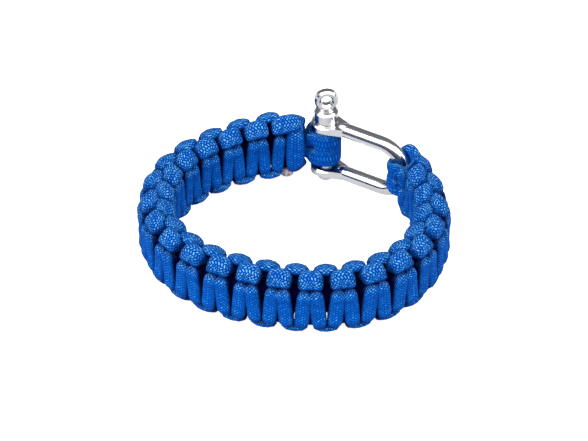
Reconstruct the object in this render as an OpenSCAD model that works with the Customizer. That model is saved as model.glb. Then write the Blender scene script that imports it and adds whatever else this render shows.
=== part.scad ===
/* [Band] */
// Number of knots along the band, counted by the bars on one face
knots = 44; // [34:1:54]
// Spacing of the knots along the middle of the band
knot_pitch = 3.79; // [3.6:0.01:4.2]
// Height of the band over its edge loops
band_h = 18.8; // [18:0.1:20.5]
// How much longer than wide the ring lies, as a share
oval_share = 0.093; // [0.02:0.001:0.11]
// Direction of the long axis of the oval, in degrees
oval_turn = -7; // [-40:1:40]
// How much the ring bulges at three corners, as a share
bulge_share = 0.019; // [0:0.001:0.03]
// Height by which the clasp lifts the two ends of the band
end_lift = 1.6; // [1.6:0.1:3]
// Length over which each end rises to the clasp
lift_run = 36; // [20:1:50]

/* [Cord] */
// Thickness of the cord where it crosses a face of the band
bar_t = 3.0; // [2.6:0.05:3.2]
// Width of the cord in the edge loops, where it is pressed flat
loop_w = 4.7; // [4.2:0.05:5]
// Thickness of the cord in the edge loops
loop_t = 2.7; // [2.4:0.05:3]
// Width of one core strand inside the band
core_w = 3.4; // [3.2:0.05:3.6]
// Thickness of one core strand inside the band
core_t = 3.0; // [2.6:0.05:3.2]
// Gap left between neighbouring cords
cord_gap = 0.1; // [0.06:0.01:0.16]

/* [Shackle] */
// Diameter of the wire of the bow
wire_d = 3.9; // [3.4:0.1:4]
// Clear height between the two ears
jaw_h = 12.4; // [11.8:0.1:13.4]
// Distance from the pin's axis to the middle of the wire at the end of the bow
bow_reach = 23.6; // [21:0.1:27]
// Diameter of the round ears
ear_d = 7.9; // [7.6:0.1:8.6]
// Thickness of the ears
ear_t = 2.2; // [1.8:0.1:2.6]

/* [Pin] */
// Diameter of the pin
pin_d = 4.0; // [3.6:0.1:4.2]
// Clearance of the pin in the ears, on the radius
pin_fit = 0.06; // [0.04:0.01:0.12]
// Length of the pin below the lower ear
pin_tip = 2.6; // [1.6:0.1:2.8]
// Diameter of the collar that stops the pin
collar_d = 6.3; // [5.6:0.1:7]
// Height of the collar
collar_h = 3.6; // [2.4:0.1:4]
// Outer diameter of the eye
eye_d = 6.3; // [5.4:0.1:7]
// Diameter of the hole in the eye
eye_hole_d = 2.9; // [2:0.1:3.2]
// Thickness of the eye
eye_t = 2.3; // [1.8:0.1:2.8]
// Height of the neck between the collar and the middle of the eye
neck_h = 3.2; // [3:0.1:4.6]

/* [Hidden] */
$fn = 48;

// Place of the pin on the ring, the fixed leads of cord between band and clasp, and the room that
// the first bar takes because it closes the end of the band
pin_turn = 75;
pin_lead = 6.2;
first_gap = 1.3;
bow_lead = 6.5;

// Length along the ring from the pin to the bow
weave_run = knots * knot_pitch + first_gap;
band_run = pin_lead + weave_run + bow_lead;
mid_z = band_h / 2 + 0.09;
clasp_z = mid_z + end_lift;

// Half heights of the shackle: inner faces of the ears and middle of the wire
jaw_half = jaw_h / 2;
leg_z = jaw_half + ear_t / 2;
wire_r = wire_d / 2;
pin_r = pin_d / 2;

// Middle of the bars off the middle plane, and place of the edge loops, whose flats turn outward
bar_w = knot_pitch - cord_gap;
bar_out = core_t / 2 + cord_gap + bar_t / 2;
loop_turn = 50;
loop_across = band_h / 2 - norm([loop_t * sin(loop_turn), 1.08 * loop_w * cos(loop_turn)]) / 2;

// Middle of each core strand off the middle of the band
core_across = core_w / 2 + cord_gap;

// Shift that puts the middle of the whole bracelet over the origin
centre = [-0.59, -0.06];

// Ring of radius one: radius at an angle, and a table of length against angle
function unit_r(a) = 1 + oval_share * cos(2 * (a - oval_turn)) + bulge_share * cos(3 * (a + 57.5));
function unit_at(a) = unit_r(a) * [cos(a), sin(a)];
step = 2;
angles = [for (a = [pin_turn - 30 : step : pin_turn + 360]) a];
steps = [for (a = angles) norm(unit_at(a + step) - unit_at(a))];
function running(v, i = 0, sum = 0) = i == len(v) ? [] : concat([sum], running(v, i + 1, sum + v[i]));
lengths = running(steps);
angle_table = [for (i = [0 : len(angles) - 1]) [lengths[i], angles[i]]];
pin_length = lengths[30 / step];

// The radius for which the bow ends its reach away from the pin
function bow_angle(r) = lookup(pin_length + band_run / r, angle_table);
function gap(r) = r * norm(unit_at(bow_angle(r)) - unit_at(pin_turn));
function solve(r, n = 8) = n == 0 ? r : solve(r + (bow_reach - gap(r)) / 360 * 57.3, n - 1);
ring_r = solve((band_run + bow_reach) / 360 * 57.3);

// Frame of the ring at a length from the pin: point, tangent and outward normal
function ring_angle(s) = lookup(pin_length + s / ring_r, angle_table);
function ring_at(s) = ring_r * unit_at(ring_angle(s)) - centre;
function unit2(v) = v / norm(v);
function ring_tangent(s) = unit2(ring_at(s + 1.5) - ring_at(s - 1.5));
function outward(t) = [t[1], -t[0]];
function ease(x) = let (c = min(max(x, 0), 1)) c * c * (3 - 2 * c);
function lift(s) = end_lift * (1 - ease(min(s, band_run - s) / lift_run));
function place(s, w, n) =
    let (p = ring_at(s) + n * outward(ring_tangent(s)))
    [p[0], p[1], mid_z + lift(s) + w];

// Skins a list of closed outlines with the same number of points into one solid
module skin(rings) {
    m = len(rings[0]);
    last = len(rings) - 1;
    sides = [for (i = [0 : last - 1], j = [0 : m - 1])
        let (a = i * m + j, b = i * m + (j + 1) % m)
        each [[a, b, b + m], [a, b + m, a + m]]];
    cap_a = [for (j = [1 : m - 2]) [0, j + 1, j]];
    cap_b = [for (j = [1 : m - 2]) [last * m, last * m + j, last * m + j + 1]];
    polyhedron([for (r = rings) each r], concat(sides, cap_a, cap_b));
}

// Flat-sided oval section of a pressed cord: half width along side, half thickness along up
corners = 8;
function oval_section(hw, ht) =
    [for (i = [0 : corners - 1]) let (a = (i + 0.5) * 360 / corners)
        [hw * cos(a), ht * sin(a)] / cos(180 / corners)];
function unit3(v) = v / norm(v);
function path_tangent(p, i) = unit3(p[min(i + 1, len(p) - 1)][0] - p[max(i - 1, 0)][0]);
function section_points(c, t, flat, hw, ht) =
    let (side = unit3(cross(t, flat)), up = cross(side, t))
    [for (v = oval_section(hw, ht)) c + v[0] * side + v[1] * up];

// Quarter of one knot, from the end of the bar to the flat of the edge loop
// columns: along in pitches, across and out as shares of the loop's place and the bar's height,
// share of loop in the section, squeeze of its width, squeeze of its thickness, turn of its flat
quarter = [
    [-0.05, 0.58,  1.00, 0.00, 0.92, 1.00,  0],
    [-0.34, 0.60,  0.41, 0.50, 0.40, 0.42, 90],
    [-0.14, 1.00, -0.74, 0.85, 1.07, 0.85, 75],
    [ 0.34, 1.00, -0.74, 1.00, 1.00, 1.00,  0],
];
rows = len(quarter);

// One row as a point of a working strand: k is the knot, way is -1 before the bar and 1 after it,
// side is 1 for the strand whose bars lie on the outer face and -1 for the other
function rise(k, side) = (k % 2 == 0 ? 1 : -1) * side;
function knot_s(k) = pin_lead + (k + 0.5) * knot_pitch + (k > 0 ? first_gap : 0);
function strand_row(k, way, side, q) = [
    [knot_s(k) + way * q[0] * knot_pitch, way * rise(k, side) * q[1] * loop_across, side * q[2] * bar_out],
    (bar_w * (1 - q[3]) + loop_w * q[3]) / 2 * q[4],
    (bar_t * (1 - q[3]) + loop_t * q[3]) / 2 * q[5],
    -way * q[6],
    loop_turn * q[3],
];
function knot_rows(k, side) = concat(
    [for (i = [rows - 1 : -1 : 0]) strand_row(k, -1, side, quarter[i])],
    [for (i = [0 : rows - 1]) strand_row(k, 1, side, quarter[i])]);

// Rings of a working strand, made straight and then bent round with the band
function face_up(c, turn) = [0, sign(c[1]) * sin(turn), sign(c[2]) * cos(turn)];
function strand_ring(p, i) =
    let (c = p[i][0], flat = cos(p[i][3]) * face_up(c, p[i][4]) + sin(p[i][3]) * [1, 0, 0])
    [for (q = section_points(c, path_tangent(p, i), flat, p[i][1], p[i][2])) place(q[0], q[1], q[2])];

// The two strands are one cord, whose middle crosses the inner face at the bow
function start_rows(side) = side > 0 ?
    [for (q = [[0.68, 1, -0.74, 1, 0.9, 1, 0], [1.1, 0.86, -0.86, 0.6, 0.75, 1, 0],
               [1, 0.5, -1, 0, 1, 1, 0], [1, 0.01, -1, 0, 1, 1, 0]])
        strand_row(knots - 1, 1, side, q)] :
    concat([for (i = [rows - 1 : -1 : 0]) strand_row(knots, -1, side, quarter[i])],
        [strand_row(knots, -1, side, [0, 0.01, 1, 0, 1, 1, 0])]);
function strand_rows(side) = concat([for (k = [0 : knots - 1]) each knot_rows(k, side)], start_rows(side));

module working_strand(side) {
    p = strand_rows(side);
    skin([for (i = [0 : len(p) - 1]) strand_ring(p, i)]);
}

module outer_strand() {
    color("royalblue") working_strand(1);
}

module inner_strand() {
    color("royalblue") working_strand(-1);
}

// Frame of the shackle: the pin's axis, and the way from the pin to the bow
pin_at = ring_at(0);
bow_at = ring_at(band_run);
clasp_way = unit2(bow_at - pin_at);
clasp_angle = atan2(clasp_way[1], clasp_way[0]);
function clasp_point(x, y, z) = [
    pin_at[0] + x * clasp_way[0] - y * clasp_way[1],
    pin_at[1] + x * clasp_way[1] + y * clasp_way[0],
    clasp_z + z,
];
function clasp_dir(x, y, z) = clasp_point(x, y, z) - clasp_point(0, 0, 0);
module at_clasp() {
    translate([pin_at[0], pin_at[1], clasp_z]) rotate([0, 0, clasp_angle]) children();
}

// Core cord: it is pressed flat round the pin and folded round the bow
pin_loop_w = jaw_half - 0.4;
pin_loop_t = 2.7;
pin_loop_r = pin_r + 0.3 + pin_loop_t / 2;
wrap_w = 4.2;
wrap_t = 1.5;
wrap_r = wire_r + 0.26 + wrap_t / 2;
wrap_turn = 30;
pin_way = ring_tangent(0);
pin_out = outward(pin_way);

// Tail under the first bars and leg of the loop round the pin
// columns: length from the pin, across as a share of the way from core to loop, out, share of loop
leg = [
    [pin_lead + 5.7, -0.10, 0.80, 0.0],
    [pin_lead + 0.6, -0.10, 0.82, 0.0],
    [pin_lead - 1.5,  0.15, 1.40, 0.2],
    [2.8,             0.90, 2.60, 0.9],
];
function leg_row(q, up_side, g) =
    let (c = [q[0], g * (core_across + q[1] * (pin_loop_w / 2 + 0.1 - core_across)), up_side * q[2]],
         o = outward(ring_tangent(q[0])))
    [place(c[0], c[1], c[2]), ((core_w - 0.4) * (1 - q[3]) + pin_loop_w * q[3]) / 2,
     (1.4 * (1 - q[3]) + pin_loop_t * q[3]) / 2, up_side * [o[0], o[1], 0]];
function pin_loop_row(a, g) =
    let (r = [for (i = [0, 1]) cos(a) * pin_way[i] + sin(a) * pin_out[i]],
         c = pin_at + pin_loop_r * r)
    [[c[0], c[1], clasp_z + g * (pin_loop_w / 2 + 0.1)], pin_loop_w / 2, pin_loop_t / 2, [r[0], r[1], 0]];
function core_row(k, g) =
    let (s = knot_s(k), o = outward(ring_tangent(s)))
    [place(s, g * core_across, 0), core_w / 2, core_t / 2, [o[0], o[1], 0]];

// Wrap round the bow: a circle about the wire, turned up or down from the middle of the bow
function wrap_row(a, g) =
    let (x = cos(a) * cos(wrap_turn), z = cos(a) * sin(wrap_turn),
         c = clasp_point(bow_reach - leg_z + leg_z * cos(wrap_turn) + wrap_r * x, wrap_r * sin(a),
             g * (leg_z * sin(wrap_turn) + wrap_r * z)))
    [c, wrap_w / 2, wrap_t / 2, -clasp_dir(x, sin(a), g * z)];

// Fold on the outer side of the bow, columns: along and out from the bow, up from its middle
fold = [[2.5, 1.4, 3.9], [3.7, 1.3, 2.1]];
function fold_row(q, g) = [clasp_point(bow_reach + q[0], q[1], g * q[2]), 1.9, 1.1, -clasp_dir(0.4, 0.92, 0)];

// Standing parts between the last bar and the bow, columns: length before the bow, across, out
stand = [[6.0, 1.65, 0.15, 1.35, 1.05], [3.3, 1.4, -0.8, 1.15, 0.6]];
function stand_row(q, g) =
    let (s = band_run - q[0], o = outward(ring_tangent(s)))
    [place(s, g * q[1], q[2]), q[3], q[4], [o[0], o[1], 0]];

function core_half(g) = concat(
    [for (i = [0 : len(leg) - 1]) leg_row(leg[i], -1, g)],
    [for (a = [-90 : -30 : -270]) pin_loop_row(a, g)],
    [for (i = [len(leg) - 1 : -1 : 0]) leg_row(leg[i], 1, g)],
    [for (k = [2 : knots - 1]) core_row(k, g)],
    [for (q = stand) stand_row(q, g)],
    [for (a = [-90 : -30 : -300]) wrap_row(a, g)],
    [for (q = fold) fold_row(q, g)]);

module core_cord() {
    upper = core_half(1);
    lower = core_half(-1);
    p = concat(upper, [for (i = [len(lower) - 1 : -1 : 0]) lower[i]]);
    color("royalblue")
    skin([for (i = [0 : len(p) - 1]) section_points(p[i][0], path_tangent(p, i), p[i][3], p[i][1], p[i][2])]);
}

ear_edge = 0.4;
spigot = 0.5;

// Leg of the bow, turned about its own axis, with a tapered root that grows out of the ear and
// a spigot that reaches into the bend, so that leg and bend are one piece
module shackle_leg() {
    root = ear_d / 2 - 0.6;
    rotate([0, 90, 0]) rotate_extrude()
        polygon([[0, root], [0.9, root], [1.6, root + 1.2], [1.9, root + 2.4], [wire_r, root + 3.6],
                 [wire_r, bow_reach - leg_z], [wire_r - spigot, bow_reach - leg_z],
                 [wire_r - spigot, bow_reach - leg_z + spigot], [0, bow_reach - leg_z + spigot]]);
}

// Forged ear: a round plate with broken edges that narrows into the leg
module shackle_ear() {
    ear_r = ear_d / 2;
    rotate_extrude()
        polygon([[0, -ear_t / 2], [ear_r - ear_edge, -ear_t / 2], [ear_r, ear_edge - ear_t / 2],
                 [ear_r, ear_t / 2 - ear_edge], [ear_r - ear_edge, ear_t / 2], [0, ear_t / 2]]);
    root = ear_r - 0.5;
    way_out = ear_r + 2;
    half = wire_r - 0.15;
    translate([0, 0, -ear_t / 2]) linear_extrude(ear_t)
        polygon([[0, -root], [0.35 * ear_r, 0.1 - root], [ear_r - 0.2, -half - 0.7], [way_out, -half],
                 [way_out, half], [ear_r - 0.2, half + 0.7], [0.35 * ear_r, root - 0.1], [0, root]]);
}

module shackle_body() {
    color("silver") at_clasp() difference() {
        union() {
            for (g = [-1, 1]) translate([0, 0, g * leg_z]) {
                shackle_ear();
                shackle_leg();
            }
            translate([bow_reach - leg_z, 0, 0]) rotate([90, 0, 0])
                rotate_extrude(angle = 180, start = -90) translate([leg_z, 0]) circle(r = wire_r);
        }
        cylinder(r = pin_r + pin_fit, h = 4 * jaw_h, center = true);
    }
}

// Pin: shaft, collar that stops on the upper ear, neck and eye
pin_seat = 0.06;
collar_z = jaw_half + ear_t + pin_seat;
eye_z = collar_z + collar_h + neck_h;
eye_turn = 6;
edge = 0.5;
module shackle_pin() {
    color("silver") translate([pin_at[0], pin_at[1], clasp_z]) rotate([0, 0, eye_turn]) {
        rotate_extrude()
            polygon([[0, -jaw_half - ear_t - pin_tip], [pin_r - edge, -jaw_half - ear_t - pin_tip],
                     [pin_r, edge - jaw_half - ear_t - pin_tip], [pin_r, collar_z],
                     [collar_d / 2 - edge, collar_z], [collar_d / 2, collar_z + edge],
                     [collar_d / 2, collar_z + collar_h - edge], [collar_d / 2 - edge, collar_z + collar_h],
                     [pin_r - 0.1, collar_z + collar_h + 0.3], [pin_r - 0.5, collar_z + collar_h + 0.9],
                     [pin_r - 0.5, eye_z - eye_d / 2 + 0.9], [0, eye_z - eye_d / 2 + 0.9]]);
        translate([0, 0, eye_z]) rotate([90, 0, 0]) rotate_extrude()
            polygon([[eye_hole_d / 2 + edge, -eye_t / 2], [eye_d / 2 - edge, -eye_t / 2],
                     [eye_d / 2, edge - eye_t / 2], [eye_d / 2, eye_t / 2 - edge],
                     [eye_d / 2 - edge, eye_t / 2], [eye_hole_d / 2 + edge, eye_t / 2],
                     [eye_hole_d / 2, eye_t / 2 - edge], [eye_hole_d / 2, edge - eye_t / 2]]);
    }
}

core_cord();
outer_strand();
inner_strand();
shackle_body();
shackle_pin();
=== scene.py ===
import math

import bmesh
import bpy
import numpy as np
from mathutils import Matrix, Vector


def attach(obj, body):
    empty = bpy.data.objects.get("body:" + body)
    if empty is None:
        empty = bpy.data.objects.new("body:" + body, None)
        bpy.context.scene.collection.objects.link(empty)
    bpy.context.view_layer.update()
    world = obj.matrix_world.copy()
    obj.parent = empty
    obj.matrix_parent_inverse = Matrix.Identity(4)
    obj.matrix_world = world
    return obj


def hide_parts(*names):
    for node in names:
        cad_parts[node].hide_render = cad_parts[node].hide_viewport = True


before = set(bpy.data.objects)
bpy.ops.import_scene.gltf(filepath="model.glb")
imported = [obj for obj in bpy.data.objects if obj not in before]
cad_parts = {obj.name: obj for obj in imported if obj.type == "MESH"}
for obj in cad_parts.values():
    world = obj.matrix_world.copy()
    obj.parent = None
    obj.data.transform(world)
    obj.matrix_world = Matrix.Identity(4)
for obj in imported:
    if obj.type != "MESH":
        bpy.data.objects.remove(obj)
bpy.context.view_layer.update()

# Table, light and camera: the bracelet lies on a white table under a wide white ceiling, between
# dark studio walls, and is looked at from in front and 41 degrees above. The white sheet glows, so
# that hardly a shadow is seen on it.
aim = Vector((0.59, 0.06, 9.43)) / 1000
camera_way = math.radians(41.2)
camera_off = 0.680
photo_width = 588

camera = bpy.data.objects.new("camera", bpy.data.cameras.new("camera"))
bpy.context.scene.collection.objects.link(camera)
camera.location = aim + camera_off * Vector((0, -math.cos(camera_way), math.sin(camera_way)))
camera.rotation_euler = (math.pi / 2 - camera_way, 0, 0)
camera.data.sensor_width = 36
camera.data.lens = 162.6
camera.data.shift_x = -2.5 / photo_width
camera.data.shift_y = 1.0 / photo_width
camera.data.clip_start = 0.05
camera.data.clip_end = 10
bpy.context.scene.camera = camera
bpy.context.scene.view_settings.view_transform = "Standard"


def feed(tree, node, inputs):
    """Links a node's inputs to sockets or gives them their values."""
    for name, value in inputs.items():
        if isinstance(value, bpy.types.NodeSocket):
            tree.links.new(value, node.inputs[name])
        else:
            node.inputs[name].default_value = value


def lay_node(tree, kind, inputs=None, **settings):
    """Adds one node with its settings and inputs to a shader or geometry tree."""
    node = tree.nodes.new(kind)
    for name, value in settings.items():
        setattr(node, name, value)
    feed(tree, node, inputs or {})
    return node


def calc(tree, operation, *terms):
    """Adds one sum of numbers or sockets to a tree and gives its result."""
    return lay_node(tree, "ShaderNodeMath", dict(enumerate(terms)), operation=operation).outputs[0]


def colour_steps(tree, factor, steps):
    """Adds a colour ramp: steps are a place and a linear colour each."""
    node = lay_node(tree, "ShaderNodeValToRGB", {"Fac": factor})
    ramp = node.color_ramp
    while len(ramp.elements) < len(steps):
        ramp.elements.new(1)
    for element, (place_on, colour) in zip(ramp.elements, steps):
        element.position = place_on
        element.color = (*colour, 1)
    return node.outputs["Color"]


def mix_colours(tree, share, at_zero, at_one):
    """Blends two colours by a share. The mix node's colours are its inputs 6 and 7 and its output 2."""
    inputs = {"Factor": share, 6: at_zero, 7: at_one}
    return lay_node(tree, "ShaderNodeMix", inputs, data_type="RGBA").outputs[2]


def new_material(name):
    """Makes a material and gives it with its node tree and its Principled shader."""
    material = bpy.data.materials.new(name)
    material.use_nodes = True
    return material, material.node_tree, material.node_tree.nodes["Principled BSDF"]


world = bpy.data.worlds.new("studio")
bpy.context.scene.world = world
world.use_nodes = True
sky = world.node_tree
sky.nodes.clear()
view_way = lay_node(sky, "ShaderNodeTexCoord").outputs["Generated"]
view_parts = lay_node(sky, "ShaderNodeSeparateXYZ", {"Vector": view_way})
to_front = calc(sky, "MULTIPLY", view_parts.outputs["Y"], -1.0)
front_to_back = calc(sky, "ARCTAN2", view_parts.outputs["Z"], to_front)
turn_share = calc(sky, "MULTIPLY_ADD", front_to_back, 1 / math.tau, 0.5)
# Once round the room: white floor, dark front wall, white ceiling up to overhead, dark back wall
walls = colour_steps(sky, turn_share, [
    (0.000, (0.90, 0.90, 0.90)), (0.498, (0.90, 0.90, 0.92)),
    (0.508, (0.05, 0.05, 0.055)), (0.585, (0.06, 0.06, 0.065)),
    (0.605, (1.00, 1.00, 1.00)), (0.745, (1.00, 1.00, 1.00)),
    (0.765, (0.09, 0.09, 0.10)), (0.990, (0.07, 0.07, 0.08))])
room = lay_node(sky, "ShaderNodeBackground", {"Color": walls, "Strength": 2.6})
plain = lay_node(sky, "ShaderNodeBackground", {"Color": (1, 1, 1, 1), "Strength": 1.0})
seen = lay_node(sky, "ShaderNodeLightPath").outputs["Is Camera Ray"]
shown = lay_node(sky, "ShaderNodeMixShader", {0: seen, 1: room.outputs[0], 2: plain.outputs[0]})
lay_node(sky, "ShaderNodeOutputWorld", {"Surface": shown.outputs[0]})

for name, at, size, power in (("key light", (-0.45, -0.35, 0.75), 0.5, 6.0),
                              ("side light", (0.6, -0.1, 0.6), 0.4, 2.0)):
    lamp = bpy.data.objects.new(name, bpy.data.lights.new(name, "AREA"))
    lamp.data.size = size
    lamp.data.energy = power
    lamp.location = at
    lamp.rotation_euler = (aim - Vector(at)).to_track_quat("-Z", "Y").to_euler()
    bpy.context.scene.collection.objects.link(lamp)

table_mesh = bpy.data.meshes.new("table")
reach = 3.0
corners = [(-reach, -reach, 0), (reach, -reach, 0), (reach, reach, 0), (-reach, reach, 0)]
table_mesh.from_pydata(corners, [], [(0, 1, 2, 3)])
table = bpy.data.objects.new("table", table_mesh)
bpy.context.scene.collection.objects.link(table)
white_sheet, tree, surface = new_material("white sheet")
looked_at = lay_node(tree, "ShaderNodeLightPath").outputs["Is Camera Ray"]
glow = mix_colours(tree, looked_at, (0.12, 0.12, 0.12, 1), (0.9, 0.9, 0.9, 1))
feed(tree, surface, {"Base Color": (0.5, 0.5, 0.5, 1), "Roughness": 0.9, "Specular IOR Level": 0.1,
                     "Emission Color": glow, "Emission Strength": 1.0})
table_mesh.materials.append(white_sheet)

# Core cord: one braided nylon cord, doubled. It is pressed flat round the pin, runs side by side
# through the whole band under the knots, and is folded round the bow. All cord is laid here on the
# ring that the band lies on. Lengths are in millimetres and angles in degrees.
knots = 44
knot_pitch = 3.79
band_h = 18.8
oval_share, oval_turn = 0.093, -7
bulge_share, bulge_turn = 0.019, -57.5
end_lift, lift_run = 1.6, 36
pin_turn, pin_lead, first_gap, bow_lead = 75, 6.2, 1.3, 6.5
bow_reach, wire_r, pin_r = 23.6, 1.95, 2.0
jaw_half, ear_t = 6.2, 2.2
leg_z = jaw_half + ear_t / 2
band_run = pin_lead + knots * knot_pitch + first_gap + bow_lead
table_gap = 0.09
mid_z = band_h / 2 + table_gap
clasp_z = mid_z + end_lift
ring_centre = np.array([-0.59, -0.06])
core_w, core_t, bar_t, cord_gap = 3.4, 3.0, 3.0, 0.1
core_across = core_w / 2 + cord_gap


def unit_ring(a):
    """Point at an angle on a circle of radius one, made slightly oval and slightly three-cornered."""
    r = 1 + oval_share * np.cos(np.radians(2 * (a - oval_turn)))
    r = r + bulge_share * np.cos(np.radians(3 * (a - bulge_turn)))
    return np.stack([r * np.cos(np.radians(a)), r * np.sin(np.radians(a))], -1)


# The ring is measured in short steps, from a little before the pin, and then made as large as it has
# to be for the shackle to reach from the end of the band to its start
walk_lead, walk_step = 30, 2.0
ring_angles = np.arange(pin_turn - walk_lead, pin_turn + 361, walk_step)
ring_steps = np.linalg.norm(np.diff(unit_ring(ring_angles), axis=0), axis=1)
ring_lengths = np.concatenate([[0], np.cumsum(ring_steps)])
pin_length = ring_lengths[int(walk_lead / walk_step)]
ring_r = (band_run + bow_reach) / math.tau
for _ in range(8):
    bow_angle = np.interp(pin_length + band_run / ring_r, ring_lengths, ring_angles)
    ring_gap = ring_r * np.linalg.norm(unit_ring(bow_angle) - unit_ring(pin_turn))
    ring_r += (bow_reach - ring_gap) / math.tau


def unit(v):
    """Gives vectors the length of one."""
    return v / np.linalg.norm(v, axis=-1, keepdims=True)


def ring_at(s):
    """Point of the ring at a length from the pin."""
    return ring_r * unit_ring(np.interp(pin_length + s / ring_r, ring_lengths, ring_angles)) - ring_centre


def ring_way(s):
    """Direction of the ring at a length from the pin, taken over a short stretch to either side."""
    stretch = 1.5
    return unit(ring_at(s + stretch) - ring_at(s - stretch))


def outward(s):
    """Direction away from the wrist at a length from the pin."""
    way = ring_way(s)
    return np.stack([way[..., 1], -way[..., 0]], -1)


def smooth(x):
    """Soft step: 0 up to 0, 1 from 1, with a level start and end between them."""
    x = np.clip(x, 0, 1)
    return x * x * (3 - 2 * x)


def lift_at(s):
    """Rise of the band towards the clasp, at a length from the pin."""
    return end_lift * (1 - smooth(np.minimum(s, band_run - s) / lift_run))


# Length before the band's end at which the outer bars start to lie flatter, over what length they do,
# and by what share
flat_lead, flat_run, flat_share = 26, 18, 0.3


def place(points):
    """Lays points (along, across, out) of the straight band round the ring, flatter before the bow."""
    along, across, out = points[..., 0], points[..., 1], points[..., 2]
    flatter = flat_share * smooth((along - band_run + flat_lead) / flat_run)
    out = out * np.where(out > 0, 1 - flatter, 1)
    level = ring_at(along) + out[..., None] * outward(along)
    return np.concatenate([level, (mid_z + lift_at(along) + across)[..., None]], -1)


# Painted shade of the hollows between the knots: share of the band's half size at which a hollow starts
# to open, and the painted shade to lift, and over which it does so; how open (how little painted shade)
# the slots on top of the band are, and from what share of its half height
hollow_edge, hollow_run = 0.74, 0.24
top_slot_light, top_from = 0.75, 0.4


def hollow_light_share(points):
    """Tells how open points of the cord lie, as a share of painted light: 0 (painted shade) deep in the
    hollows between the knots, 1 outside.
    """
    turn = np.degrees(np.arctan2(points[:, 1] + ring_centre[1], points[:, 0] + ring_centre[0]))
    turn = pin_turn - walk_lead + (turn - pin_turn + walk_lead) % 360
    s = (np.interp(turn, ring_angles, ring_lengths) - pin_length) * ring_r
    for _ in range(2):
        off = points[:, :2] - ring_at(s)
        s = s + (off * ring_way(s)).sum(1)
    out = (off * outward(s)).sum(1) / (core_t / 2 + cord_gap + bar_t)
    across = (points[:, 2] - mid_z - lift_at(s)) / (band_h / 2)
    share = smooth(((out ** 4 + across ** 4) ** 0.25 - hollow_edge) / hollow_run)
    share = np.maximum(share, (top_slot_light - abs(out)) * (across > top_from))
    return np.where((s < pin_lead) | (s > band_run - bow_lead), 1, share)


def knot_at(k):
    """Length from the pin to a knot's middle. The first bar closes the end and takes more room."""
    return pin_lead + (k + 0.5) * knot_pitch + (first_gap if k > 0 else 0)


def flow(rows, per=12):
    """Makes a smooth dense table of a few rows. The first three columns of a row are a point."""
    rows = np.array(rows, float)
    t = np.concatenate([[0], np.cumsum(np.linalg.norm(np.diff(rows[:, :3], axis=0), axis=1) ** 0.5)])
    slope = np.gradient(rows, t, axis=0)
    gap = np.diff(t)[:, None, None]
    u = (np.arange(per) / per)[None, :, None]
    a, b, ma, mb = rows[:-1, None], rows[1:, None], slope[:-1, None], slope[1:, None]
    dense = (a * (1 + 2 * u) * (1 - u) ** 2 + b * u * u * (3 - 2 * u)
             + gap * (ma * u * (1 - u) ** 2 - mb * u * u * (1 - u)))
    return np.concatenate([dense.reshape(-1, rows.shape[1]), rows[-1:]])


def cord_axes(path, flat, half_w, half_t):
    """Half width and half thickness of a cord's section as vectors."""
    way = unit(np.gradient(path, axis=0))
    side = unit(np.cross(way, flat))
    return side * half_w[:, None], np.cross(side, way) * half_t[:, None]


def stitch_relief(tree, along, around):
    """Herringbone of the braid: height of the yarns, and row and column that tell each stitch."""
    columns, stitch, slant, stagger = 26, 0.85, 0.5, 0.5
    rim, crown = 0.44, 0.58
    column_place = calc(tree, "MULTIPLY", around, columns)
    column = calc(tree, "FLOOR", column_place)
    row = calc(tree, "DIVIDE", along, stitch)
    row = calc(tree, "MULTIPLY_ADD", calc(tree, "PINGPONG", column_place, 1), slant, row)
    row = calc(tree, "MULTIPLY_ADD", column, stagger, row)
    over = calc(tree, "PINGPONG", calc(tree, "MULTIPLY", row, 2), 1)
    across = calc(tree, "SINE", calc(tree, "MULTIPLY", calc(tree, "FRACT", column_place), math.pi))
    height = calc(tree, "MULTIPLY", over, calc(tree, "MULTIPLY_ADD", across, crown, rim))
    return height, calc(tree, "FLOOR", row), column


def new_sockets(tree, *sockets):
    """Names the inputs and outputs of a node group."""
    for name, kind, way in sockets:
        tree.interface.new_socket(name, in_out=way, socket_type="NodeSocket" + kind)


braid = bpy.data.node_groups.new("braided sheath", "ShaderNodeTree")
new_sockets(braid, ("Lay", "Vector", "INPUT"), ("Height", "Float", "OUTPUT"),
            ("Stitch Tint", "Float", "OUTPUT"))
lay = lay_node(braid, "NodeGroupInput").outputs["Lay"]
lay_parts = lay_node(braid, "ShaderNodeSeparateXYZ", {"Vector": lay})
height, row, column = stitch_relief(braid, lay_parts.outputs["X"], lay_parts.outputs["Y"])
stitch_id = lay_node(braid, "ShaderNodeCombineXYZ", {"X": row, "Y": column})
tint = lay_node(braid, "ShaderNodeTexWhiteNoise", {"Vector": stitch_id.outputs[0]}, noise_dimensions="2D")
lay_node(braid, "NodeGroupOutput", {"Height": height, "Stitch Tint": tint.outputs["Value"]})


def between(tree, share, at_zero, at_one):
    """Gives a value that runs from one number to another as a share runs from 0 to 1."""
    return calc(tree, "MULTIPLY_ADD", share, at_one - at_zero, at_zero)


blue_braid, tree, surface = new_material("blue nylon braid")
lay = lay_node(tree, "ShaderNodeUVMap", uv_map="cord lay").outputs["UV"]
sheath = lay_node(tree, "ShaderNodeGroup", {"Lay": lay}, node_tree=braid).outputs
lit = between(tree, sheath["Stitch Tint"], 0.66, 1.12)
# Painted light by facing: where the cord faces up, the yarn crests get stronger painted highlights
facing_light = lay_node(tree, "ShaderNodeAttribute", attribute_name="painted_top_light").outputs["Fac"]
yarn = calc(tree, "MULTIPLY", calc(tree, "MULTIPLY", sheath["Height"], lit), facing_light)
# Painted light of the braid: royal blue, painted darker in the grooves between the yarns, with light cyan
# painted highlights (glints) on the yarn crests
yarn_shade_and_glint = colour_steps(tree, yarn, [
    (0.00, (0.0, 0.036, 0.25)), (0.24, (0.0, 0.070, 0.38)), (0.42, (0.0, 0.130, 0.56)),
    (0.60, (0.02, 0.28, 0.78)), (0.80, (0.26, 0.68, 0.96))])
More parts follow.
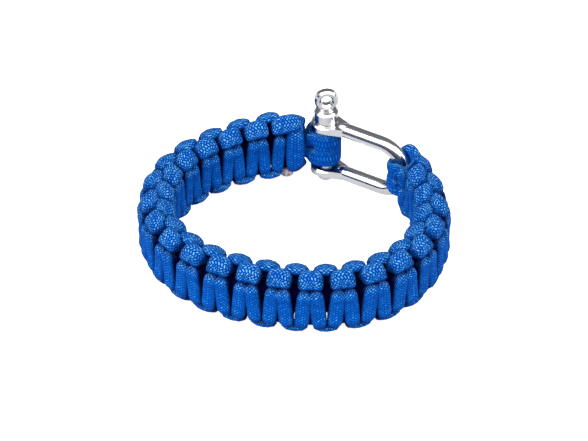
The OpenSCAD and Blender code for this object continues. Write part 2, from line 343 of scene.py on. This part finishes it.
# Painted shade: the colour is mixed towards deep navy in the hollows between the knots, and where the
# cord faces up its base tone is painted darker too
hollow_light = lay_node(tree, "ShaderNodeAttribute", attribute_name="hollow_light").outputs["Fac"]
light_share = calc(tree, "MULTIPLY", hollow_light, between(tree, facing_light, 1.62, 0.57))
braid_with_painted_shade = mix_colours(tree, light_share, (0.002, 0.0, 0.045, 1), yarn_shade_and_glint)
bump = lay_node(tree, "ShaderNodeBump", {"Height": sheath["Height"], "Distance": 0.0002, "Strength": 0.8})
feed(tree, surface, {"Base Color": braid_with_painted_shade, "Roughness": 0.7, "Specular IOR Level": 0.03,
                     "Normal": bump.outputs[0]})

laid_cord = bpy.data.node_groups.new("laid cord", "GeometryNodeTree")
new_sockets(laid_cord, ("Geometry", "Geometry", "INPUT"), ("Points Round", "Int", "INPUT"),
            ("Stitch Relief", "Float", "INPUT"), ("Sheath", "Material", "INPUT"),
            ("Geometry", "Geometry", "OUTPUT"))
given = lay_node(laid_cord, "NodeGroupInput").outputs


def cord_node(kind, inputs, **settings):
    """Adds one node to the cord's tree and gives its first output."""
    return lay_node(laid_cord, kind, inputs, **settings).outputs[0]


def stored(name, kind="FLOAT"):
    """Reads a named attribute of the cord."""
    return cord_node("GeometryNodeInputNamedAttribute", {"Name": name}, data_type=kind)


def blend_vectors(operation, *terms):
    """Adds one sum of vectors to the cord's tree and gives its result."""
    return cord_node("ShaderNodeVectorMath", dict(enumerate(terms)), operation=operation)


def scaled(vector, amount):
    """Makes a vector longer or shorter by a socket's value."""
    return cord_node("ShaderNodeVectorMath", {0: vector, "Scale": amount}, operation="SCALE")


# The line of the cord gets a round profile, whose points are then moved to where the cord's own half
# width and half thickness put them. A lower "pressed" makes the section squarer.
line = cord_node("GeometryNodeMeshToCurve", {"Mesh": given["Geometry"]})
profile = cord_node("GeometryNodeCurveArc", {
    "Resolution": calc(laid_cord, "ADD", given["Points Round"], 1), "Radius": 0.001,
    "Start Angle": 0.0, "Sweep Angle": math.tau}, mode="RADIUS")
share = lay_node(laid_cord, "GeometryNodeSplineParameter").outputs["Factor"]
profile = cord_node("GeometryNodeStoreNamedAttribute", {
    "Geometry": profile, "Name": "around", "Value": share}, data_type="FLOAT", domain="POINT")
tube = cord_node("GeometryNodeCurveToMesh", {"Curve": line, "Profile Curve": profile})
turn = calc(laid_cord, "MULTIPLY", calc(laid_cord, "FRACT", stored("around")), math.tau)
reach_of = []
for swing in ("COSINE", "SINE"):
    swung = calc(laid_cord, swing, turn)
    pressed = calc(laid_cord, "POWER", calc(laid_cord, "ABSOLUTE", swung), stored("pressed"))
    reach_of.append(calc(laid_cord, "MULTIPLY", pressed, calc(laid_cord, "SIGN", swung)))
wide, thick = stored("wide", "FLOAT_VECTOR"), stored("thick", "FLOAT_VECTOR")
skin, leaning = stored("middle", "FLOAT_VECTOR"), (0, 0, 0)
no_zero = 1e-9  # keeps the closed ends from dividing by nothing
for vector, amount in zip((wide, thick), reach_of):
    skin = blend_vectors("ADD", skin, scaled(vector, amount))
    size = lay_node(laid_cord, "ShaderNodeVectorMath", {0: vector}, operation="LENGTH").outputs["Value"]
    square = calc(laid_cord, "MULTIPLY_ADD", size, size, no_zero)
    leaning = blend_vectors("ADD", leaning, scaled(vector, calc(laid_cord, "DIVIDE", amount, square)))
height = stitch_relief(laid_cord, stored("along"), stored("around"))[0]
lift_by = calc(laid_cord, "MULTIPLY", height, given["Stitch Relief"])
lift_by = calc(laid_cord, "MULTIPLY", lift_by, stored("woven"))
skin = blend_vectors("ADD", skin, scaled(blend_vectors("NORMALIZE", leaning), lift_by))
tube = cord_node("GeometryNodeSetPosition", {"Geometry": tube, "Position": skin})
cord_lay = cord_node("ShaderNodeCombineXYZ", {"X": stored("along"), "Y": stored("around")})
tube = cord_node("GeometryNodeStoreNamedAttribute", {
    "Geometry": tube, "Name": "cord lay", "Value": cord_lay}, data_type="FLOAT2", domain="CORNER")
tube = cord_node("GeometryNodeMergeByDistance", {"Geometry": tube, "Distance": 1e-6})
tube = cord_node("GeometryNodeFlipFaces", {"Mesh": tube})
tube = cord_node("GeometryNodeSetShadeSmooth", {"Geometry": tube})
tube = cord_node("GeometryNodeRealizeInstances", {"Geometry": tube})
tube = cord_node("GeometryNodeSetMaterial", {"Geometry": tube, "Material": given["Sheath"]})
lay_node(laid_cord, "NodeGroupOutput", {"Geometry": tube})


def run_lengths(line):
    """Length from the start of a line to each of its points."""
    return np.concatenate([[0], np.cumsum(np.linalg.norm(np.diff(line, axis=0), axis=1))])


def store_numbers(mesh, label, values):
    """Keeps one number for each point of a mesh."""
    mesh.attributes.new(label, "FLOAT", "POINT").data.foreach_set("value", values)


def read_vectors(items, label):
    """Reads one vector of each vertex of a mesh."""
    values = np.empty(len(items) * 3)
    items.foreach_get(label, values)
    return values.reshape(-1, 3)


# Step along the cord, points round it, length over which a cut end is rounded, depth of the stitches
cord_step, points_round, end_rounding, stitch_depth = 0.4, 32, 0.9, 0.06
# Painted light by facing: how bright the cord is painted at the least and on its sides, and how much more
# where it faces up
least_light, side_light, top_light = 0.5, 0.60, 0.7


def make_cord(name, centre, side, up, pressed):
    """Lays one cord along its line and gives it as a plain mesh, with rounded cut ends."""
    length, outer_length = run_lengths(centre), run_lengths(centre + up)
    even = np.linspace(0, length[-1], int(length[-1] / cord_step) + 1)
    centre, side, up = (np.stack([np.interp(even, length, v[:, i]) for i in range(3)], -1) / 1000
                        for v in (centre, side, up))
    end_share = np.clip(np.minimum(even, length[-1] - even) / end_rounding, 0, 1)
    close = np.sqrt(1 - (1 - end_share) ** 2)[:, None]
    mesh = bpy.data.meshes.new(name)
    mesh.from_pydata(centre, [(i, i + 1) for i in range(len(even) - 1)], [])
    for label, vectors in (("middle", centre), ("wide", side * close), ("thick", up * close)):
        mesh.attributes.new(label, "FLOAT_VECTOR", "POINT").data.foreach_set("vector", vectors.ravel())
    store_numbers(mesh, "along", np.interp(even, length, outer_length))
    store_numbers(mesh, "woven", end_share)
    store_numbers(mesh, "pressed", np.interp(even, length, pressed))
    piece = bpy.data.objects.new(name, mesh)
    bpy.context.scene.collection.objects.link(piece)
    modifier = piece.modifiers.new("laid cord", "NODES")
    modifier.node_group = laid_cord
    values = {"Points Round": points_round, "Stitch Relief": stitch_depth / 1000, "Sheath": blue_braid}
    for socket in laid_cord.interface.items_tree:
        if socket.in_out == "INPUT" and socket.name in values:
            modifier[socket.identifier] = values[socket.name]
    laid = bpy.data.meshes.new_from_object(piece.evaluated_get(bpy.context.evaluated_depsgraph_get()))
    piece.modifiers.clear()
    piece.data = laid
    for label in ("middle", "wide", "thick", "along", "around", "woven", "pressed"):
        if label in laid.attributes:
            laid.attributes.remove(laid.attributes[label])
    # Painted shade of the hollows and painted light by facing, kept on each point for the material
    up_share = read_vectors(laid.vertex_normals, "vector")[:, 2]
    store_numbers(laid, "hollow_light", hollow_light_share(read_vectors(laid.vertices, "co") * 1000))
    store_numbers(laid, "painted_top_light", np.clip(side_light + top_light * up_share, least_light, 1))
    return piece


pin_at, bow_at = ring_at(np.array(0.0)), ring_at(np.array(band_run))
clasp_way = unit(bow_at - pin_at)
pin_way, pin_out = ring_way(np.array(0.0)), outward(np.array(0.0))


def clasp_turned(x, y, z):
    """Direction (from pin to bow, outward, up) of the shackle in the bracelet's frame."""
    return np.array([x * clasp_way[0] - y * clasp_way[1], x * clasp_way[1] + y * clasp_way[0], z])


def clasp_point(x, y, z):
    """Place at lengths (from pin to bow, outward, up) from the middle of the shackle's pin."""
    return np.array([pin_at[0], pin_at[1], clasp_z]) + clasp_turned(x, y, z)


pin_loop_w, pin_loop_t, pin_loop_rise = 5.4, 1.8, 0.65
pin_loop_gap, pin_loop_lap = 0.3, 0.3
pin_loop_r = pin_r + pin_loop_gap + pin_loop_t / 2
leg_w, leg_t = 3.0, 1.4
wrap_gap, wrap_t = 0.26, 1.5
wrap_r = wire_r + wrap_gap + wrap_t / 2
# How the section is pressed on each stretch: 1 is oval, and a lower number is nearer to a rectangle
leg_pressed, leg_pressed_more, loop_pressed = 0.72, 0.3, 0.3
band_pressed, wrap_pressed, fold_pressed = 0.8, 0.75, 0.7
# Leg from band to pin: along, share of the way from the core's height to the loop's, out, share of loop
leg = [(pin_lead + 5.7, -0.10, 0.80, 0.0), (pin_lead + 0.6, -0.10, 0.82, 0.0),
       (pin_lead - 1.5, 0.20, 1.40, 0.2), (2.8, 0.90, 2.60, 0.9)]
# End of the band at the bow: length before the end, across, out, half width, half thickness
bow_end = [(6.0, 1.65, 0.15, 1.35, 1.05), (3.3, 1.5, -0.8, 1.5, 0.7)]
# Cord round the bow: angle about the wire, angle on the bend, off the wire, half width, half thickness
wrap = [(-90, 24, 0.4, 2.3, 0.80), (-120, 21, 0.4, 2.3, 0.85),
        (-150, 17, 0.4, 2.3, 1.00), (-180, 15, 0.5, 2.3, 1.10),
        (-210, 17, 0.5, 2.3, 1.10), (-240, 24, 0.5, 2.4, 1.15),
        (-270, 31, 0.6, 2.3, 1.30), (-300, 33, 0.8, 2.2, 1.40)]
# Fold that joins the two wraps: beyond the bow, outward, up; its flat side, half width, half thickness
fold = [(2.7, 1.5, 4.2), (3.9, 1.4, 2.1)]
fold_flat, fold_half_w, fold_half_t = (0.4, 0.92, 0), 2.1, 1.4


def core_half(half):
    """Rows of the upper (1) or lower (-1) half of the core: point, half sizes, flat side, pressed."""
    rows = []

    def leg_row(along, across, out, loop, face):
        """Adds a row of the leg on the inner (-1) or the outer (1) side of the pin."""
        across = half * (core_across + across * (pin_loop_w / 2 - core_across)) + pin_loop_rise * loop
        rows.append([*place(np.array([along, across, face * out])),
                     (leg_w * (1 - loop) + pin_loop_w * loop) / 2,
                     (leg_t * (1 - loop) + pin_loop_t * loop) / 2,
                     *(face * outward(np.array(along))), 0, leg_pressed - leg_pressed_more * loop])

    for row in leg:
        leg_row(*row, -1)
    loop_z = clasp_z + pin_loop_rise + half * (pin_loop_w / 2 - pin_loop_lap)
    for a in np.radians(np.arange(-90, -271, -30)):
        flat = math.cos(a) * pin_way + math.sin(a) * pin_out
        rows.append([*(pin_at + pin_loop_r * flat), loop_z, pin_loop_w / 2, pin_loop_t / 2,
                     *flat, 0, loop_pressed])
    for row in reversed(leg):
        leg_row(*row, 1)
    for k in range(2, knots):
        along = knot_at(k)
        rows.append([*place(np.array([along, half * core_across, 0])), core_w / 2, core_t / 2,
                     *outward(np.array(along)), 0, band_pressed])
    for before, across, out, half_w, half_t in bow_end:
        along = band_run - before
        rows.append([*place(np.array([along, half * across, out])), half_w, half_t,
                     *outward(np.array(along)), 0, band_pressed])
    for a, bend, off, half_w, half_t in wrap:
        a, bend, off = math.radians(a), math.radians(bend), wrap_r + off
        x, y, z = math.cos(a) * math.cos(bend), math.sin(a), math.cos(a) * math.sin(bend)
        point = clasp_point(bow_reach - leg_z + leg_z * math.cos(bend) + off * x, off * y,
                            half * (leg_z * math.sin(bend) + off * z))
        rows.append([*point, half_w, half_t, *-clasp_turned(x, y, half * z), wrap_pressed])
    for x, y, z in fold:
        rows.append([*clasp_point(bow_reach + x, y, half * z), fold_half_w, fold_half_t,
                     *-clasp_turned(*fold_flat), fold_pressed])
    return rows


core_rows = flow(core_half(1) + core_half(-1)[::-1], per=10)
core_side, core_up = cord_axes(core_rows[:, :3], core_rows[:, 5:8], core_rows[:, 3], core_rows[:, 4])
core_braid = make_cord("core_braid", core_rows[:, :3], core_side, core_up, core_rows[:, 8])
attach(core_braid, "bracelet")
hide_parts("core_cord")

# Working cord: the same braided cord, tied knot after knot round the core. One half lays its bars
# on the outer face and the other on the inner face, and each knot's loop lies flat over the edge.
bar_w = knot_pitch - cord_gap
bar_out = core_t / 2 + cord_gap + bar_t / 2
loop_w, loop_t, loop_turn, loop_tip, loop_spread = 4.7, 2.7, 50, 9, 1.08
loop_across = band_h / 2 - math.hypot(loop_t * math.sin(math.radians(loop_turn)),
                                      loop_spread * loop_w * math.cos(math.radians(loop_turn))) / 2
# How far the top loops stand up, how much more the first ones do, over how many knots it fades out, and
# how far all loops lie in towards the wrist
loop_rise, first_rise, first_knots, loop_in = 0.75, 0.7, 5, 0.35
# Shares of the pitch by which a bar leans to its pair and by which the inner strand's top loops move on
bar_lean, top_shift = 0.06, 0.06
# Shift of the first knot along the band, and how the section of both strands is pressed
first_shift, strand_pressed = 0.1, 0.7
# From a knot's middle to its edge: along, across and out as shares of the pitch, the loop's place and
# the bar's, share of loop, squeeze of width and of thickness, turn of the flat side
quarter = [(-0.04, 0.25, 1.00, 0.00, 0.98, 1.00, 0), (-0.12, 0.62, 0.98, 0.00, 0.86, 1.00, 0),
           (-0.20, 0.66, 0.41, 0.50, 0.40, 0.34, 90), (-0.06, 0.96, -0.70, 0.85, 0.98, 0.72, 28),
           (0.26, 0.97, -0.64, 1.00, 1.05, 0.95, 0)]
# The first bar is the widest, and the cord starts from under it
first_quarter = [(0.0, 0.30, 1.00, 0.00, 1.45, 1.05, 0), (0.0, 0.62, 0.94, 0.00, 1.25, 1.0, 0),
                 (-0.42, 0.86, 0.05, 0.50, 0.75, 0.75, 30), (0.10, 1.00, -0.60, 1.00, 1.02, 1.0, 0)]
tucked = [(0.10, 0.55, 0.05, 0.5, 0.5, 0.4, 0), (0.05, 0.95, 0.48, 0.5, 0.9, 0.7, 0),
          (0.0, 0.74, 0.98, 0.00, 1.3, 1.0, 0), (0.0, 0.30, 1.00, 0.00, 1.45, 1.05, 0)]
# After the last knot the two strands meet, end to end, in one more bar on the inner face
outer_end = [(0.68, 1, -0.74, 1, 0.9, 1, 0), (1.1, 0.86, -0.86, 0.6, 0.75, 1, 0),
             (1, 0.5, -1, 0, 1, 1, 0), (1, 0.01, -1, 0, 1, 1, 0)]
inner_end = [*reversed(quarter), (0, 0.01, 1, 0, 1, 1, 0)]


def strand_row(k, way, side, row):
    """Row of a strand before (-1) or after (1) a knot's middle: point, half sizes, flat side."""
    along, across, out, loop, squeeze_w, squeeze_t, turn = row
    rise = (1 if k % 2 == 0 else -1) * side
    shift = first_shift if k == 0 else -bar_lean * rise * knot_pitch * (1 - loop)
    across *= way * rise * loop_across
    if side < 0 and across > 0 and turn:
        along += top_shift
    rise_by = loop_rise + first_rise * max(0, 1 - k / first_knots)
    point = (knot_at(k) + shift + way * along * knot_pitch, across + rise_by * loop * (across > 0),
             side * out * bar_out - loop_in * loop)
    tilt, turn = math.radians((loop_turn + loop_tip) * loop), math.radians(-way * turn)
    flat = (math.sin(turn), math.cos(turn) * np.sign(point[1]) * math.sin(tilt),
            math.cos(turn) * np.sign(point[2]) * math.cos(tilt))
    return [*point, (bar_w * (1 - loop) + loop_w * loop) / 2 * squeeze_w,
            (bar_t * (1 - loop) + loop_t * loop) / 2 * squeeze_t, *flat]


def strand_rows(side):
    """All rows of the strand whose bars lie on the outer (1) or the inner (-1) face."""
    rows = []
    for k in range(knots):
        before, after = (tucked, first_quarter) if k == 0 else (reversed(quarter), quarter)
        rows += [strand_row(k, -1, side, row) for row in before]
        rows += [strand_row(k, 1, side, row) for row in after]
    if side > 0:
        return rows + [strand_row(knots - 1, 1, side, row) for row in outer_end]
    return rows + [strand_row(knots, -1, side, row) for row in inner_end]


for side, name, node in ((1, "outer_braid", "outer_strand"), (-1, "inner_braid", "inner_strand")):
    rows = flow(strand_rows(side))
    line = rows[:, :3]
    wide_way, thick_way = cord_axes(line, rows[:, 5:8], rows[:, 3], rows[:, 4])
    strand = make_cord(name, place(line), (place(line + wide_way) - place(line - wide_way)) / 2,
                       (place(line + thick_way) - place(line - thick_way)) / 2,
                       np.full(len(rows), strand_pressed))
    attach(strand, "bracelet")
    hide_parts(node)

# Sealed end: the cut end of the nylon cord, melted into a small grey bead so that the braid can't
# fray. It sits low on the inner face by the first two bars, and only its rim is seen.
bead_place, bead_half = (10.6, -6.9, -3.0), (1.8, 1.4, 1.2)


def speckle(tree, scale, detail):
    """Gives a fine, irregular pattern that is fixed to the piece."""
    place_on = lay_node(tree, "ShaderNodeTexCoord").outputs["Object"]
    inputs = {"Vector": place_on, "Scale": scale, "Detail": detail}
    return lay_node(tree, "ShaderNodeTexNoise", inputs).outputs["Fac"]


melted_nylon, tree, surface = new_material("melted nylon")
soot = speckle(tree, 1400.0, 3.0)
sooty = colour_steps(tree, soot, [(0.35, (0.08, 0.07, 0.10)), (0.65, (0.42, 0.34, 0.37))])
feed(tree, surface, {"Base Color": sooty, "Roughness": 0.35})
bead_mesh = bpy.data.meshes.new("sealed_end")
bead = bmesh.new()
bead_middle = Vector(place(np.array(bead_place)) / 1000)
bead_matrix = Matrix.LocRotScale(bead_middle, None, Vector(bead_half) / 1000)
bmesh.ops.create_uvsphere(bead, u_segments=24, v_segments=14, radius=1, matrix=bead_matrix)
bead.to_mesh(bead_mesh)
bead.free()
bead_mesh.shade_smooth()
bead_mesh.materials.append(melted_nylon)
sealed_end = bpy.data.objects.new("sealed_end", bead_mesh)
bpy.context.scene.collection.objects.link(sealed_end)
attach(sealed_end, "bracelet")

# Shackle: a forged steel bow with two flat, drilled ears, and a steel pin with a collar and an eye,
# both polished. The pin goes through the ears and the core's loops, and is screwed into the lower ear.
polished_steel, tree, surface = new_material("polished steel")
roughness = between(tree, speckle(tree, 900.0, 4.0), 0.08, 0.24)
feed(tree, surface, {"Metallic": 1, "Base Color": (0.66, 0.66, 0.67, 1), "Roughness": roughness})
for name in ("shackle_body", "shackle_pin"):
    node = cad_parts[name]
    node.data.materials.clear()
    node.data.materials.append(polished_steel)
